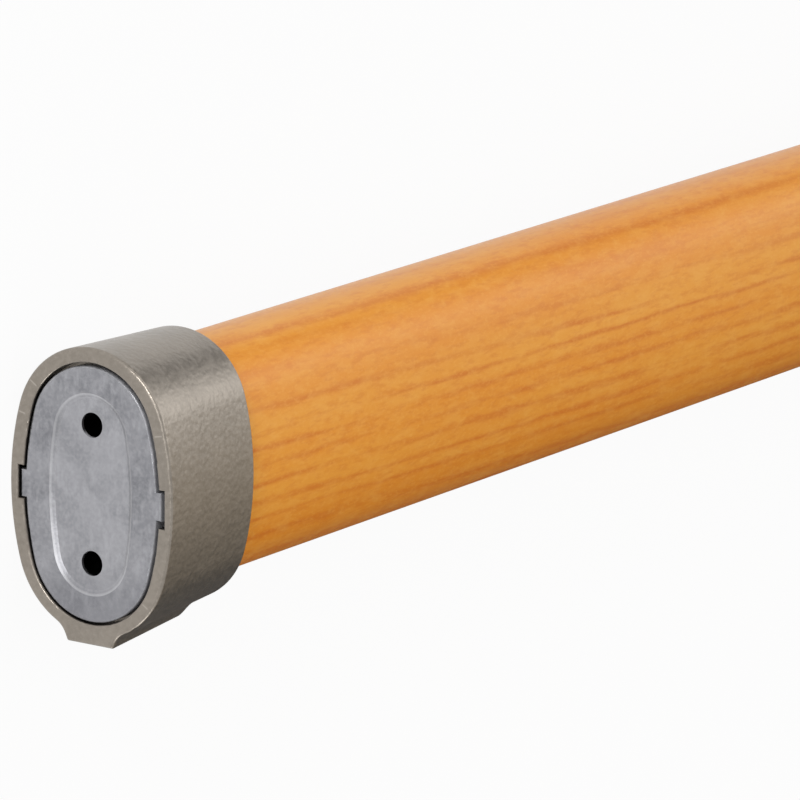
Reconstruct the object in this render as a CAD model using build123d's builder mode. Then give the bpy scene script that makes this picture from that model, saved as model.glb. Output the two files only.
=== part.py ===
from build123d import *
from math import radians, tan
import os

# A wall-ended oval handrail: an extruded aluminium rail, the cast collar that covers
# its end, and the cast wall plate that sits in the collar's mouth.
# All sizes are in millimetres. X runs along the rail from the wall plane at X = 0.
# The part lies on its flat side: Y is the way that is up when the rail is on a wall,
# and Z is up as it lies. The collar's foot points to -Y.

# The large ovals are offsets of one skeleton, so walls stay even all round.
oval_reach = 10.4  # from the middle to the centre of each round end
oval_bulge = 1.4  # how far the long sides swell beyond the end radius
curve_steps = 24  # points that carry the rail's outer curve

# Rail: 45 high, 27 wide, hollow.
rail_end_radius = 12.1
rail_wall = 2.0
rail_length = 1000.0
rail_edge = 0.3  # deburring of the sawn end

# Collar: drafted all round, and a little higher at the rail than at the wall.
collar_length = 27.5
collar_front_lift = 0.15  # above the middle of the mouth
collar_back_lift = 0.45
collar_back_wall = 2.45
collar_rim = 3.0  # width of the flat face beside the mouth
collar_front_trim = 0.4  # the wall end's reach is this much less than the rail's
collar_front_round = 0.7
collar_back_round = 0.25
socket_clearance = 0.3
rail_top_gap = 0.02  # the rail is held up against the top of its socket
mouth_gap = 0.57  # between the plate and the mouth
mouth_edge_round = 0.4

# Notches beside the mouth for the plate's tabs: near is the side on top as it lies.
notch_depth = 1.15
near_notch_low = -4.05
near_notch_high = 2.95
far_notch_low = -2.95
far_notch_high = 3.1

# Foot under the collar: a low pad with sloped sides and a long rounded heel.
foot_width = 10.0
foot_shift = 0.3  # towards the side it lies on
foot_heel_inset = 6.3  # from the collar's back to the end of the flat sole
foot_drop = 1.43  # below the underside at the wall
foot_tilt = 4.9  # the sole climbs towards the rail
foot_depth = 4.4  # enough to reach into the collar's underside
foot_side_slope = 24.0
foot_heel_slope = 54.0
foot_heel_round = 3.0
foot_edge_round = 0.3
foot_root_round = 4.5

# Wall plate: it hangs a little low in the mouth, and off to the side it lies on.
plate_overhang = 0.95  # beyond the rail's end, which it stops
plate_thickness = 3.0
plate_setback = 0.4
plate_drop = 0.2
plate_shift = 0.25
plate_edge_round = 0.4
tab_height = 5.3
tab_reach = 0.45  # beyond the mouth's wall, into the notch
recess_end_radius = 7.2
recess_bulge = 0.95
recess_depth = 0.5
recess_slope_run = 1.0
screw_pitch = 25.4
screw_hole_radius = 2.3
screw_head_radius = 4.2

# Sizes that follow from those above.
socket_radius = rail_end_radius + socket_clearance
rail_lift = collar_back_lift + socket_clearance - rail_top_gap
plate_end_radius = rail_end_radius + plate_overhang
plate_back = plate_setback + plate_thickness
mouth_radius = plate_end_radius + mouth_gap
collar_front_radius = mouth_radius + collar_rim
collar_front_reach = oval_reach - collar_front_trim
collar_back_radius = socket_radius + collar_back_wall
notch_half_width = mouth_radius + oval_bulge + notch_depth
tab_half_width = mouth_radius + oval_bulge + tab_reach
foot_length = collar_length - foot_heel_inset


class Oval(BaseSketchObject):
    """Oval of four tangent arcs with its long axis along the sketch's x."""

    def __init__(self, end_radius, reach=oval_reach, bulge=oval_bulge, mode=Mode.ADD):
        span = (reach**2 + bulge**2) / (2 * bulge)
        join_x = reach * (1 + end_radius / span)
        join_y = end_radius * (span - bulge) / span
        tip = reach + end_radius
        side = bulge + end_radius
        with BuildSketch() as shape:
            with BuildLine():
                ThreePointArc((-join_x, join_y), (0, side), (join_x, join_y))
                ThreePointArc((join_x, join_y), (tip, 0), (join_x, -join_y))
                ThreePointArc((join_x, -join_y), (0, -side), (-join_x, -join_y))
                ThreePointArc((-join_x, -join_y), (-tip, 0), (-join_x, join_y))
            make_face()
        super().__init__(shape.sketch, rotation=0, align=None, mode=mode)


class SmoothOval(BaseSketchObject):
    """The same oval as one closed curve, so the wall raised on it has no joins in view."""

    def __init__(self, end_radius, mode=Mode.ADD):
        with BuildSketch() as arcs:
            Oval(end_radius)
        outline = arcs.face().outer_wire()
        points = [outline @ ((step / curve_steps + 0.5) % 1) for step in range(curve_steps)]
        with BuildSketch() as shape:
            with BuildLine():
                Spline(*points, periodic=True)
            make_face()
        super().__init__(shape.sketch, rotation=0, align=None, mode=mode)


# Rail: one hollow extrusion, its sawn far end lightly deburred.
with BuildPart() as rail:
    with BuildSketch(Plane.YZ.offset(plate_back)):
        with Locations((rail_lift, 0)):
            SmoothOval(rail_end_radius)
            Oval(rail_end_radius - rail_wall, mode=Mode.SUBTRACT)
    extrude(amount=rail_length)
    fillet(rail.faces().sort_by(Axis.X)[-1].edges(), radius=rail_edge)

# Collar: the drafted shell first, then the foot, then the hollows.
with BuildPart() as collar:
    with BuildSketch(Plane.YZ):
        with Locations((collar_front_lift, 0)):
            Oval(collar_front_radius, reach=collar_front_reach)
    with BuildSketch(Plane.YZ.offset(collar_length)):
        with Locations((collar_back_lift, 0)):
            Oval(collar_back_radius)
    loft(ruled=True)

    # The foot's flat sole climbs with the collar's drafted underside. It starts ahead of
    # the wall plane by its own depth and is trimmed there, flush with the rim.
    front_low = collar_front_lift - (collar_front_reach + collar_front_radius)
    level = Plane(origin=(0, front_low - foot_drop, -foot_shift), x_dir=(1, 0, 0), z_dir=(0, 1, 0))
    sole = level.rotated((0, 0, foot_tilt))
    root_width = foot_width + 2 * foot_depth * tan(radians(foot_side_slope))
    root_length = foot_length + foot_depth * tan(radians(foot_heel_slope))
    with BuildSketch(sole):
        with Locations((-foot_depth, 0)):
            Rectangle(foot_depth + foot_length, foot_width, align=(Align.MIN, Align.CENTER))
    with BuildSketch(sole.offset(foot_depth)):
        with Locations((-foot_depth, 0)):
            Rectangle(foot_depth + root_length, root_width, align=(Align.MIN, Align.CENTER))
    loft(ruled=True)
    split(bisect_by=Plane.YZ, keep=Keep.TOP)

    # The heel rolls off in a wide curve, the sole's sides are eased, and the foot's root
    # flows into the underside, which is the lowest of the shell's six large faces.
    fillet(collar.faces().sort_by(Axis.Y)[0].edges().sort_by(Axis.X)[-1], radius=foot_heel_round)
    sole_sides = collar.faces().sort_by(Axis.Y)[0].edges().group_by(Axis.Z)
    fillet(sole_sides[0] + sole_sides[-1], radius=foot_edge_round)
    underside = collar.faces().sort_by(SortBy.AREA)[-6:].sort_by(Axis.Y)[0]
    root = underside.edges().filter_by(GeomType.CIRCLE, reverse=True)
    root = root.filter_by_position(Axis.Y, front_low, front_low + foot_depth)
    fillet(root, radius=foot_root_round)

    # Rounded outer rims at the wall and at the rail.
    fillet(collar.faces().filter_by(Axis.X).sort_by(Axis.X)[0].edges(), radius=collar_front_round)
    fillet(collar.faces().filter_by(Axis.X).sort_by(Axis.X)[-1].edges(), radius=collar_back_round)

    # The mouth holds the wall plate against a shoulder; its notches clear the tabs.
    with BuildSketch(Plane.YZ):
        Oval(mouth_radius)
        with Locations((near_notch_low, 0)):
            Rectangle(
                near_notch_high - near_notch_low,
                notch_half_width,
                align=(Align.MIN, Align.MIN),
            )
        with Locations((far_notch_low, 0)):
            Rectangle(
                far_notch_high - far_notch_low,
                notch_half_width,
                align=(Align.MIN, Align.MAX),
            )
    extrude(amount=plate_back, mode=Mode.SUBTRACT)
    rim = collar.faces().filter_by(Axis.X).sort_by(Axis.X)[0]
    fillet(rim.inner_wires()[0].edges(), radius=mouth_edge_round)

    # Behind the shoulder the socket takes the rail.
    with BuildSketch(Plane.YZ.offset(plate_back)):
        with Locations((collar_back_lift, 0)):
            Oval(socket_radius)
    extrude(amount=collar_length - plate_back, mode=Mode.SUBTRACT)

# Wall plate: a shallow cast plate with two side tabs, a sunk middle and two screw
# holes whose countersinks are on the side that faces into the rail.
with BuildPart() as plate:
    with BuildSketch(Plane.YZ.offset(plate_setback)):
        with Locations((-plate_drop, -plate_shift)):
            Oval(plate_end_radius)
            Rectangle(tab_height, 2 * tab_half_width)
    extrude(amount=plate_thickness)
    fillet(plate.faces().sort_by(Axis.X)[0].edges(), radius=plate_edge_round)
    with BuildSketch(Plane.YZ.offset(plate_setback)):
        with Locations((-plate_drop, -plate_shift)):
            Oval(recess_end_radius + recess_slope_run, bulge=recess_bulge)
    with BuildSketch(Plane.YZ.offset(plate_setback + recess_depth)):
        with Locations((-plate_drop, -plate_shift)):
            Oval(recess_end_radius, bulge=recess_bulge)
    loft(ruled=True, mode=Mode.SUBTRACT)
    with Locations(Plane.YZ.offset(plate_back)):
        with Locations((-plate_drop, -plate_shift)):
            with GridLocations(screw_pitch, 0, 2, 1):
                CounterSinkHole(
                    radius=screw_hole_radius,
                    counter_sink_radius=screw_head_radius,
                    counter_sink_angle=90,
                )

os.makedirs("parts", exist_ok=True)
rail.part.label = "rail"
collar.part.label = "collar"
plate.part.label = "wall_plate"
export_step(rail.part, "parts/rail.step")
export_step(collar.part, "parts/collar.step")
export_step(plate.part, "parts/wall_plate.step")
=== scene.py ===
import math

import bpy
from mathutils import Matrix, Vector


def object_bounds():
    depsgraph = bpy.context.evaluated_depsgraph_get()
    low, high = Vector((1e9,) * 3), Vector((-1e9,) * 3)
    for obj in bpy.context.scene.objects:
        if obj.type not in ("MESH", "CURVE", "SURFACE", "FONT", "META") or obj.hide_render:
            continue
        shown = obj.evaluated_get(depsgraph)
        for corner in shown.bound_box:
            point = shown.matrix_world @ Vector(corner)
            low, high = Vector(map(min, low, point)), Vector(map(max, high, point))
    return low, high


# The looks of a wall-ended handrail: three materials, a plain stage, the light and the camera.
# Lengths are in metres and angles in radians. X runs along the rail from the wall, Y is up in
# use, and Z is up as the part lies.
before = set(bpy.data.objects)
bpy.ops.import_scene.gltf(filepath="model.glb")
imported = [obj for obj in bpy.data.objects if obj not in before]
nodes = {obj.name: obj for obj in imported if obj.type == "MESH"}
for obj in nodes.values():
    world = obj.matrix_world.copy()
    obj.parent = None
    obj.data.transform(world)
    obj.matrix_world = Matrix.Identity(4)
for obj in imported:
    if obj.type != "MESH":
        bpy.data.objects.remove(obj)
cad_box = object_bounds()
floor_z = cad_box[0][2]
rail_axis_y = 0.00073


class Net:
    """A node tree, with short ways to add nodes that hand back the socket they end in.

    A value handed in may be another node's socket, a number or a colour.
    """

    def __init__(self, tree):
        self.tree = tree

    def add(self, kind, **settings):
        node = self.tree.nodes.new(kind)
        for key, value in settings.items():
            setattr(node, key, value)
        return node

    def plug(self, socket, value):
        """Joins a socket to another one, or sets it to a number or a colour."""
        if isinstance(value, bpy.types.NodeSocket):
            self.tree.links.new(value, socket)
        elif socket.type == "RGBA":
            socket.default_value = (*value, 1.0)
        else:
            socket.default_value = value

    def plug_all(self, node, values):
        for name, value in values.items():
            self.plug(node.inputs[name], value)

    def coordinates(self, kind):
        return self.add("ShaderNodeTexCoord").outputs[kind]

    def axes(self, kind):
        """X, Y and Z of one kind of coordinates."""
        split = self.add("ShaderNodeSeparateXYZ")
        self.plug(split.inputs[0], self.coordinates(kind))
        return split.outputs["X"], split.outputs["Y"], split.outputs["Z"]

    def stretched(self, scale, turn=(0.0, 0.0, 0.0)):
        """Object coordinates, scaled along each axis."""
        mapping = self.add("ShaderNodeMapping")
        vector = self.coordinates("Object")
        self.plug_all(mapping, {"Vector": vector, "Scale": scale, "Rotation": turn})
        return mapping.outputs["Vector"]

    def noise(self, vector, scale=1.0, detail=2.0, roughness=0.5, distortion=0.0):
        texture = self.add("ShaderNodeTexNoise")
        self.plug_all(texture, {"Vector": vector, "Scale": scale, "Detail": detail})
        self.plug_all(texture, {"Roughness": roughness, "Distortion": distortion})
        return texture.outputs["Fac"]

    def mix(self, factor, a, b):
        """Mixes two colours."""
        node = self.add("ShaderNodeMix", data_type="RGBA")
        factor_in, a_in, b_in, colour_out = 0, 6, 7, 2
        self.plug(node.inputs[factor_in], factor)
        self.plug(node.inputs[a_in], a)
        self.plug(node.inputs[b_in], b)
        return node.outputs[colour_out]

    def mix_number(self, factor, a, b):
        node = self.add("ShaderNodeMix", data_type="FLOAT")
        factor_in, a_in, b_in, number_out = 0, 2, 3, 0
        self.plug(node.inputs[factor_in], factor)
        self.plug(node.inputs[a_in], a)
        self.plug(node.inputs[b_in], b)
        return node.outputs[number_out]

    def spread(self, value, low, high, to_low=0.0, to_high=1.0):
        """Maps a value's range onto another, smoothly."""
        node = self.add("ShaderNodeMapRange", interpolation_type="SMOOTHSTEP")
        self.plug_all(node, {"Value": value, "From Min": low, "From Max": high})
        self.plug_all(node, {"To Min": to_low, "To Max": to_high})
        return node.outputs["Result"]

    def bump(self, height, strength, distance):
        node = self.add("ShaderNodeBump")
        self.plug_all(node, {"Height": height, "Strength": strength, "Distance": distance})
        return node.outputs["Normal"]

    def calc(self, operation, a, b=0.0):
        """One sum on two values."""
        node = self.add("ShaderNodeMath", operation=operation)
        self.plug(node.inputs[0], a)
        self.plug(node.inputs[1], b)
        return node.outputs[0]

    def outwardness(self):
        """How far a surface faces away from the X axis: below 0 on inner walls, 0 on ends."""
        outward = self.add("ShaderNodeVectorMath", operation="MULTIPLY")
        self.plug(outward.inputs[0], self.coordinates("Object"))
        self.plug(outward.inputs[1], (0.0, 1.0, 1.0))
        facing = self.add("ShaderNodeVectorMath", operation="DOT_PRODUCT")
        self.plug(facing.inputs[0], outward.outputs["Vector"])
        self.plug(facing.inputs[1], self.coordinates("Normal"))
        return facing.outputs["Value"]


def new_material(name):
    """A material, its Principled shader and its node tree."""
    material = bpy.data.materials.new(name)
    material.use_nodes = True
    tree = material.node_tree
    return material, tree.nodes["Principled BSDF"], Net(tree)


def wood_film():
    """Wood-grain film: honey ground under broken growth lines, one strong streak and a mottle.

    The lines wander along the rail at a slight twist. The bore and the sawn ends are bare.
    """
    material, shader, net = new_material("wood_grain_film")
    light = (0.698, 0.287, 0.025)
    warm = (0.672, 0.241, 0.012)
    line = (0.545, 0.136, 0.002)
    pale = (0.745, 0.360, 0.064)
    bare_dark = (0.50, 0.51, 0.52)
    bare_light = (0.62, 0.63, 0.64)
    line_count = 28.0  # a whole number, so the lines close round the rail
    twist_rate = 3.93  # radians of the slow twist in each metre
    streak_angle = 0.29

    # The angle is 0 on the rail's top and grows to both sides, to pi on the underside.
    along, height, depth = net.axes("Object")
    angle = net.calc("ARCTAN2", depth, net.calc("SUBTRACT", height, rail_axis_y))
    from_top = net.calc("ABSOLUTE", angle)
    twist = net.calc("SINE", net.calc("MULTIPLY", along, twist_rate))

    drift = net.noise(net.stretched((5.0, 90.0, 90.0)), detail=3.0, roughness=0.55)
    ground = net.mix(net.spread(drift, 0.36, 0.64), light, warm)

    # Growth lines, pushed about by slow and quick noise. They fade near the top, partly the
    # print's own calm and partly painted sheen that lightens the top.
    sway = net.noise(net.stretched((1.3, 60.0, 60.0)), detail=3.0, roughness=0.5)
    wiggle = net.noise(net.stretched((75.0, 420.0, 420.0)), detail=3.0, roughness=0.6)
    turns = net.calc("SUBTRACT", angle, net.calc("MULTIPLY", twist, 0.5))
    turns = net.calc("MULTIPLY", turns, line_count / math.tau)
    turns = net.calc("ADD", turns, net.calc("MULTIPLY", sway, 3.0))
    turns = net.calc("ADD", turns, net.calc("MULTIPLY", wiggle, 0.55))
    fold = net.calc("PINGPONG", turns, 0.5)
    broken = net.noise(net.stretched((24.0, 240.0, 240.0)), detail=4.0, roughness=0.65)
    calm_and_top_sheen = net.spread(from_top, 0.35, 1.35, 0.25, 1.0)
    gaps = net.calc("MULTIPLY", net.spread(broken, 0.36, 0.60), calm_and_top_sheen)
    halo = net.calc("MULTIPLY", net.spread(fold, 0.10, 0.5, 0.0, 0.30), gaps)
    ground = net.mix(halo, ground, line)
    thin = net.calc("MULTIPLY", net.spread(fold, 0.27, 0.48, 0.0, 0.70), gaps)
    ground = net.mix(thin, ground, line)

    # Painted shade: the colour turns redder and darker towards the underside, with a darker band
    # low down.
    under = net.spread(from_top, 1.80, 2.55, 0.0, 0.20)
    under = net.calc("ADD", under, net.spread(from_top, 2.54, 2.76, 0.0, 0.45))
    ground = net.mix(under, ground, line)

    # The one strong streak follows the same twist.
    bend = net.calc("MULTIPLY", net.calc("SUBTRACT", sway, 0.5), 0.5)
    bend = net.calc("ADD", bend, net.calc("MULTIPLY", wiggle, 0.10))
    bend = net.calc("SUBTRACT", bend, net.calc("MULTIPLY", twist, 0.28))
    off = net.calc("ADD", net.calc("SUBTRACT", angle, streak_angle), bend)
    near_streak = net.spread(net.calc("ABSOLUTE", off), 0.0, 0.085, 0.80, 0.0)
    streak = net.calc("MULTIPLY", near_streak, net.spread(broken, 0.3, 0.6, 0.55, 1.0))
    ground = net.mix(streak, ground, line)

    mottle = net.noise(net.stretched((170.0, 430.0, 430.0)), detail=4.0, roughness=0.62)
    ground = net.mix(net.spread(mottle, 0.42, 0.68, 0.0, 0.28), ground, pale)
    fibre = net.noise(net.stretched((240.0, 900.0, 900.0)), detail=3.0, roughness=0.6)
    ground = net.mix(net.spread(fibre, 0.46, 0.70, 0.0, 0.34), ground, line)
    speck = net.noise(net.stretched((900.0, 1700.0, 1700.0)), detail=2.0, roughness=0.6)
    ground = net.mix(net.spread(speck, 0.46, 0.72, 0.0, 0.30), ground, pale)

    draw_marks = net.noise(net.stretched((6.0, 2600.0, 2600.0)), detail=2.0)
    bare = net.mix(draw_marks, bare_dark, bare_light)
    film = net.spread(net.outwardness(), 0.004, 0.006)
    net.plug_all(shader, {
        "Base Color": net.mix(film, bare, ground),
        "Metallic": net.spread(film, 0.0, 1.0, 1.0, 0.0),
        "Roughness": net.spread(speck, 0.3, 0.7, 0.31, 0.37),
        "Normal": net.bump(speck, 0.12, 0.00004),
        "Specular IOR Level": 0.36,
    })
    return material


def tick(net, height, depth, start, end):
    """1 on a short scored line between two points of the collar's end face."""
    core, edge = 0.00006, 0.00020  # half widths of the full line and of its soft edge
    end_fade = 0.0002
    y, z = start
    run_y, run_z = end[0] - y, end[1] - z
    length = math.hypot(run_y, run_z)
    run_y, run_z = run_y / length, run_z / length
    from_y = net.calc("SUBTRACT", height, y)
    from_z = net.calc("SUBTRACT", depth, z)
    side_y = net.calc("MULTIPLY", from_y, run_z)
    side_z = net.calc("MULTIPLY", from_z, run_y)
    down_y = net.calc("MULTIPLY", from_y, run_y)
    down_z = net.calc("MULTIPLY", from_z, run_z)
    off_side = net.calc("ABSOLUTE", net.calc("SUBTRACT", side_y, side_z))
    down = net.calc("ADD", down_y, down_z)
    off_middle = net.calc("ABSOLUTE", net.calc("SUBTRACT", down, length / 2))
    narrow = net.spread(off_side, core, edge, 1.0, 0.0)
    short = net.spread(off_middle, length / 2 - end_fade, length / 2 + end_fade, 1.0, 0.0)
    return net.calc("MULTIPLY", narrow, short)


def grey_paint():
    """Warm grey metallic paint over a casting: a pebbled skin under a thin clear coat.

    Four lines are scored on the end face. The walls inside the mouth are coloured near black
    as painted shade.
    """
    material, shader, net = new_material("grey_paint")
    cloud_dark = (0.270, 0.240, 0.206)
    cloud_light = (0.298, 0.265, 0.228)
    pebble_top_highlight = (0.352, 0.314, 0.272)
    pebble_hollow_shade = (0.225, 0.198, 0.168)
    grain_light = (0.435, 0.390, 0.340)
    scored = (0.50, 0.46, 0.41)
    mouth_wall_shade = (0.045, 0.043, 0.040)
    ticks = (
        ((0.01917, -0.01334), (0.01818, -0.01189)),
        ((0.01311, -0.01592), (0.01277, -0.01447)),
        ((0.01261, 0.01413), (0.01293, 0.01565)),
        ((-0.01840, 0.01157), (-0.01914, 0.01267)),
    )
    plain = net.stretched((1.0, 1.0, 1.0))
    along, height, depth = net.axes("Object")
    pebble = net.noise(plain, scale=950.0, detail=1.0, roughness=0.4)
    grain = net.noise(plain, scale=2600.0, detail=2.0)
    cloud = net.noise(plain, scale=120.0, detail=3.0)
    colour = net.mix(net.spread(cloud, 0.3, 0.7), cloud_dark, cloud_light)
    # Painted highlight and shade: pebble tops are coloured lighter and pebble hollows darker, following
    # the bump.
    colour = net.mix(net.spread(pebble, 0.45, 0.75, 0.0, 0.40), colour, pebble_top_highlight)
    colour = net.mix(net.spread(pebble, 0.28, 0.48, 0.28, 0.0), colour, pebble_hollow_shade)
    colour = net.mix(net.spread(grain, 0.45, 0.75, 0.0, 0.18), colour, grain_light)

    lines = None
    for start, end in ticks:
        mark = tick(net, height, depth, start, end)
        lines = mark if lines is None else net.calc("MAXIMUM", lines, mark)
    on_end_face = net.spread(along, 0.0003, 0.0006, 0.6, 0.0)
    colour = net.mix(net.calc("MULTIPLY", lines, on_end_face), colour, scored)

    # Painted shade: the walls inside the mouth are coloured near black.
    inner = net.spread(net.outwardness(), -0.004, -0.002, 1.0, 0.0)
    inner = net.calc("MULTIPLY", inner, net.spread(along, 0.0004, 0.0007))
    net.plug_all(shader, {
        "Base Color": net.mix(inner, colour, mouth_wall_shade),
        "Metallic": 0.9,
        "Coat Weight": 0.03,
        "Coat Roughness": 0.16,
        "Roughness": net.spread(pebble, 0.3, 0.7, 0.29, 0.36),
        "Normal": net.bump(pebble, 0.50, 0.00018),
    })
    return material


def cast_metal():
    """Bare casting: cloudy bluish grey with flow marks, brighter on the sunk middle.

    The lip round the sunk middle is painted lighter as a painted highlight, the lower end is
    darker, and the plate's outer sides are matt.
    """
    material, shader, net = new_material("cast_metal")
    cloud_dark = (0.213, 0.215, 0.233)
    cloud_light = (0.326, 0.327, 0.348)
    flow_light = (0.43, 0.43, 0.455)
    grain_light = (0.46, 0.46, 0.48)
    sunk_light = (0.52, 0.52, 0.545)
    low_dark = (0.20, 0.20, 0.22)
    slope_highlight_light = (0.60, 0.60, 0.62)
    flow_turn = (0.5, 0.0, 0.0)
    plain = net.stretched((1.0, 1.0, 1.0))
    along, height, _ = net.axes("Object")
    facing = net.outwardness()
    cloud = net.noise(plain, scale=150.0, detail=4.0, roughness=0.58, distortion=0.3)
    flow = net.noise(net.stretched((300.0, 300.0, 700.0), flow_turn), detail=4.0, roughness=0.6)
    grain = net.noise(plain, scale=1500.0, detail=3.0)
    colour = net.mix(net.spread(cloud, 0.3, 0.7), cloud_dark, cloud_light)
    colour = net.mix(net.spread(flow, 0.45, 0.75, 0.0, 0.55), colour, flow_light)
    colour = net.mix(net.spread(grain, 0.35, 0.7, 0.0, 0.30), colour, grain_light)
    colour = net.mix(net.spread(along, 0.00060, 0.00088, 0.0, 0.24), colour, sunk_light)
    colour = net.mix(net.spread(height, -0.022, -0.012, 0.45, 0.0), colour, low_dark)
    # Painted highlight: the slope round the sunk middle is coloured lighter, most at its lip.
    slope = net.spread(facing, -0.003, -0.0015, 1.0, 0.0)
    lip = net.spread(along, 0.00052, 0.00070, 0.48, 0.12)
    net.plug_all(shader, {
        "Base Color": net.mix(net.calc("MULTIPLY", slope, lip), colour, slope_highlight_light),
        "Metallic": net.spread(facing, 0.004, 0.008, 0.9, 0.2),
        "Roughness": net.spread(cloud, 0.3, 0.7, 0.18, 0.26),
        "Normal": net.bump(grain, 0.25, 0.00006),
    })
    return material


for node, material in (("rail", wood_film()), ("collar", grey_paint()), ("wall_plate", cast_metal())):
    mesh = nodes[node].data
    mesh.materials.clear()
    mesh.materials.append(material)


def sheet(name, corners, material):
    """A four-cornered sheet of the stage."""
    mesh = bpy.data.meshes.new(name)
    mesh.from_pydata(corners, [], [(0, 1, 2, 3)])
    mesh.materials.append(material)
    thing = bpy.data.objects.new(name, mesh)
    bpy.context.scene.collection.objects.link(thing)
    return thing


def floor_paint():
    """White where it is seen, with a small share of matt grey that keeps a soft shadow."""
    white_share = 0.94
    material = bpy.data.materials.new("floor")
    material.use_nodes = True
    net = Net(material.node_tree)
    net.tree.nodes.clear()
    matt = net.add("ShaderNodeBsdfDiffuse")
    net.plug(matt.inputs["Color"], (0.62, 0.62, 0.62))
    white = net.add("ShaderNodeEmission")
    net.plug_all(white, {"Color": (1.0, 1.0, 1.0), "Strength": 1.0})
    path = net.add("ShaderNodeLightPath").outputs
    seen = net.calc("MAXIMUM", path["Is Camera Ray"], path["Is Glossy Ray"])
    seen = net.calc("MAXIMUM", seen, path["Is Transmission Ray"])
    blend = net.add("ShaderNodeMixShader")
    net.plug(blend.inputs[0], net.calc("MULTIPLY", seen, white_share))
    net.plug(blend.inputs[1], matt.outputs[0])
    net.plug(blend.inputs[2], white.outputs[0])
    net.plug(net.add("ShaderNodeOutputMaterial").inputs["Surface"], blend.outputs[0])
    return material


half = 40.0
floor = sheet(
    "floor",
    [(-half, -half, floor_z), (half, -half, floor_z), (half, half, floor_z), (-half, half, floor_z)],
    floor_paint(),
)


def light_world():
    """An even pale room behind the camera, with a graded one ahead of it.

    Ahead it is dim and warm towards -Y, brightest a little to +Y and high up, fades further to
    +Y, and is dark at the horizon.
    """
    even_level = 0.80
    warm = (1.0, 0.90, 0.75)
    white = (1.0, 1.0, 1.0)
    world = bpy.data.worlds.new("studio")
    bpy.context.scene.world = world
    world.use_nodes = True
    net = Net(world.node_tree)
    net.tree.nodes.clear()
    x, y, z = net.axes("Generated")
    across = net.spread(y, -0.62, 0.08, 0.24, 0.96)
    bright = net.spread(y, 0.0, 0.28, 0.0, 0.68)
    rise = net.spread(z, 0.38, 0.58, 1.0, 2.0)
    far = net.spread(y, 0.28, 0.58, 1.0, 0.45)
    horizon = net.spread(z, 0.0, 0.35, 0.22, 1.0)
    graded = net.calc("ADD", across, net.calc("MULTIPLY", bright, rise))
    graded = net.calc("MULTIPLY", graded, far)
    graded = net.calc("MULTIPLY", graded, horizon)
    ahead = net.spread(x, -0.1, 0.4)
    behind = net.spread(x, -0.1, 0.4, 1.0, 0.0)
    whiteness = net.calc("MAXIMUM", net.spread(y, -0.35, 0.2), behind)
    background = net.add("ShaderNodeBackground")
    net.plug(background.inputs["Strength"], net.mix_number(ahead, even_level, graded))
    net.plug(background.inputs["Color"], net.mix(whiteness, warm, white))
    net.plug(net.add("ShaderNodeOutputWorld").inputs["Surface"], background.outputs[0])


light_world()


def lamp(name, place, aim, size, power):
    data = bpy.data.lights.new(name, "AREA")
    data.shape = "RECTANGLE"
    data.size, data.size_y = size
    data.energy = power
    thing = bpy.data.objects.new(name, data)
    bpy.context.scene.collection.objects.link(thing)
    thing.location = place
    thing.rotation_euler = (Vector(aim) - Vector(place)).to_track_quat("-Z", "Y").to_euler()
    thing.visible_camera = False


lamp("key", place=(-1.35, 0.45, 0.45), aim=(0.05, 0.0, 0.0), size=(1.5, 0.7), power=4.65)
lamp("edge", place=(-1.05, 0.95, 0.50), aim=(0.0, 0.0, 0.0), size=(0.3, 0.3), power=5.4)
lamp("top", place=(0.3, 1.35, 0.8), aim=(0.3, 0.0, 0.0), size=(0.8, 0.8), power=1.75)
lamp("fill", place=(-0.3, -1.5, 0.25), aim=(0.2, 0.0, 0.0), size=(0.5, 0.35), power=2.7)

# A dark card beside the rail, met only by reflections, shades the lower side.
card_material, card_shader, card_net = new_material("card")
card_net.plug_all(card_shader, {"Base Color": (0.10, 0.10, 0.10), "Specular IOR Level": 0.0})
start_x, end_x = 0.012, 1.3
near_y, far_y, top_z = -0.036, -0.25, 0.09
card = sheet(
    "card",
    [(start_x, near_y, floor_z), (end_x, near_y, floor_z), (end_x, far_y, top_z), (start_x, far_y, top_z)],
    card_material,
)
card.visible_camera = False
card.visible_diffuse = False
card.visible_shadow = False
card.visible_transmission = False

# Camera: the end is seen from its near side and a little above, through a long lens.
azimuth = math.radians(34.032)
elevation = math.radians(13.475)
roll = math.radians(0.584)
distance = 1.28385
focal_px = 7214.9
image_px = 800
aim_px = (-309.863, -94.605)
sensor_mm = 36.0

forward = Vector((
    math.cos(azimuth) * math.cos(elevation),
    -math.sin(elevation),
    -math.sin(azimuth) * math.cos(elevation),
))
right = forward.cross(Vector((0.0, 1.0, 0.0))).normalized()
up = right.cross(forward)
right, up = (
    math.cos(roll) * right + math.sin(roll) * up,
    math.cos(roll) * up - math.sin(roll) * right,
)
place = -distance * (forward + right * aim_px[0] / focal_px + up * aim_px[1] / focal_px)
camera_data = bpy.data.cameras.new("camera")
camera_data.sensor_width = sensor_mm
camera_data.lens = sensor_mm * focal_px / image_px
camera_data.clip_start = 0.05
camera_data.clip_end = 200.0
camera = bpy.data.objects.new("camera", camera_data)
bpy.context.scene.collection.objects.link(camera)
camera.matrix_world = Matrix((
    (right.x, up.x, -forward.x, place.x),
    (right.y, up.y, -forward.y, place.y),
    (right.z, up.z, -forward.z, place.z),
    (0.0, 0.0, 0.0, 1.0),
))
bpy.context.scene.camera = camera
bpy.context.scene.view_settings.view_transform = "Standard"
